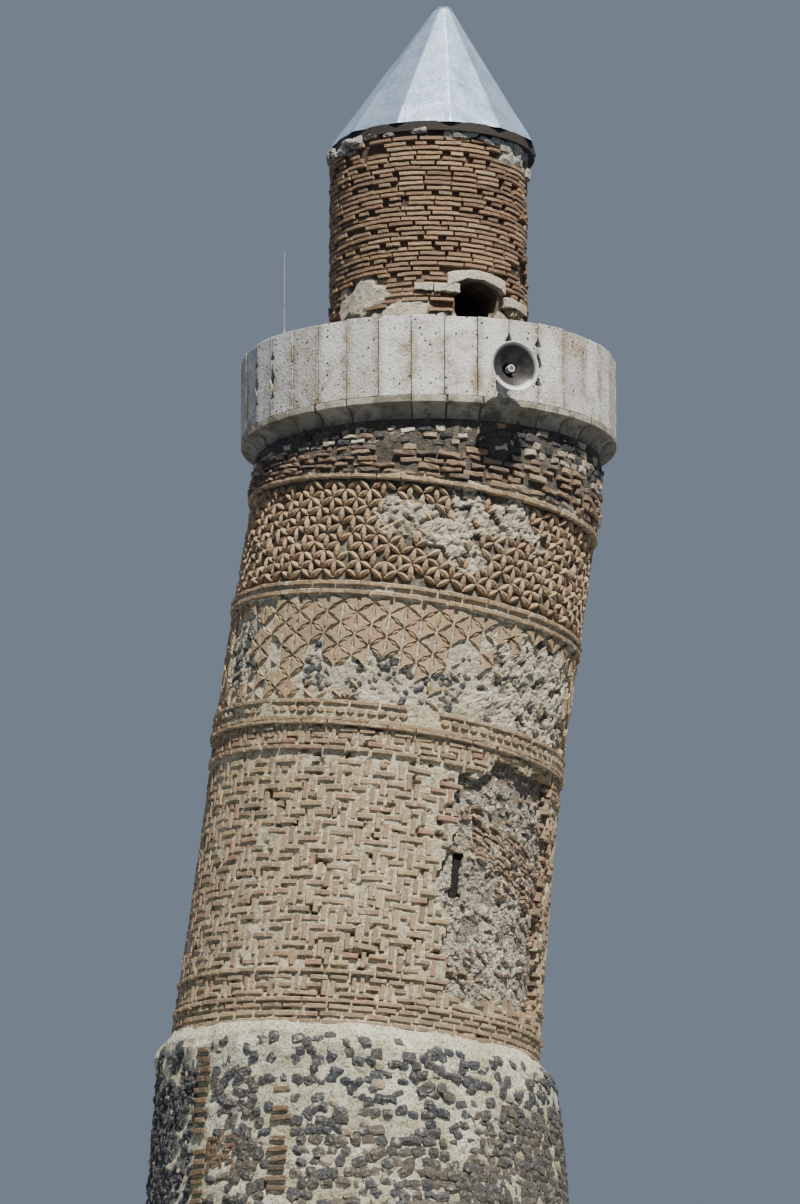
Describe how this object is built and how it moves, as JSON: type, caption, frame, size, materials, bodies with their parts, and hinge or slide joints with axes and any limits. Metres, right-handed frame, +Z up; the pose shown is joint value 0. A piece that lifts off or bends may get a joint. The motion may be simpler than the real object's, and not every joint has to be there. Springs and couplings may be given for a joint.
{
  "type": "leaning brick minaret",
  "caption": "Leaning round brick minaret on a square stone plinth and rubble drum, with a slab-walled stone balcony, narrow brick lantern and sheet-metal cone.",
  "frame": {"origin": "centre of the square plinth's base, on the ground", "axes": "+Z up, +X the way the shaft leans, -Y the front that shows the balcony doorway and the horn"},
  "size_m": [5.1399, 4.9, 18.2773],
  "materials": {
    "plinth_stone": "rough cut limestone blocks, bare, in lime mortar",
    "rubble": "pale lime mortar with dark rubble stones, rough",
    "core_mortar": "broken lime mortar and rubble, rough",
    "brick": "weathered fired brick in pale mortar, rough",
    "pale_stone": "pitted pale stone with ochre stains, matt",
    "lantern_brick": "thin weathered brick with open joints, rough",
    "timber": "weathered grey boards",
    "roof_sheet": "weathered zinc-coated sheet, dull and mottled",
    "horn_shell": "light grey paint, satin, streaked with dirt",
    "dark_plastic": "dark grey, matt",
    "steel": "zinc-coated, dull"
  },
  "bodies": {
    "root": {"plinth_footing": "plinth_stone", "plinth_left_block": "plinth_stone", "plinth_right_block": "plinth_stone", "plinth_front_block": "plinth_stone", "plinth_door_lintel": "plinth_stone", "drum_front": "rubble", "drum_right": "rubble", "drum_back": "rubble", "drum_left": "rubble", "shaft_core_front": "core_mortar", "shaft_core_right": "core_mortar", "shaft_core_back": "core_mortar", "shaft_core_left": "core_mortar", "lower_facing_right": "brick", "lower_facing_back": "brick", "lower_facing_front": "brick", "lower_facing_stump": "brick", "waist_band": "brick", "upper_facing_front": "brick", "upper_facing_right": "brick", "upper_facing_left": "brick", "balcony_front": "pale_stone", "balcony_right": "pale_stone", "balcony_back": "pale_stone", "balcony_left": "pale_stone", "parapet_slabs_1": "pale_stone", "parapet_slabs_2": "pale_stone", "parapet_slabs_3": "pale_stone", "parapet_slabs_4": "pale_stone", "parapet_slabs_5": "pale_stone", "parapet_slabs_6": "pale_stone", "lantern_wall_right": "lantern_brick", "lantern_wall_back": "lantern_brick", "lantern_wall_left": "lantern_brick", "lantern_wall_front": "lantern_brick", "lantern_wall_over_door": "lantern_brick", "door_arch_stone": "pale_stone", "eave_boards": "timber", "roof_cone": "roof_sheet", "roof_cap": "roof_sheet", "horn_bell": "horn_shell", "horn_driver": "dark_plastic", "horn_bracket": "steel", "parapet_rod": "steel"}
  },
  "joints": []
}
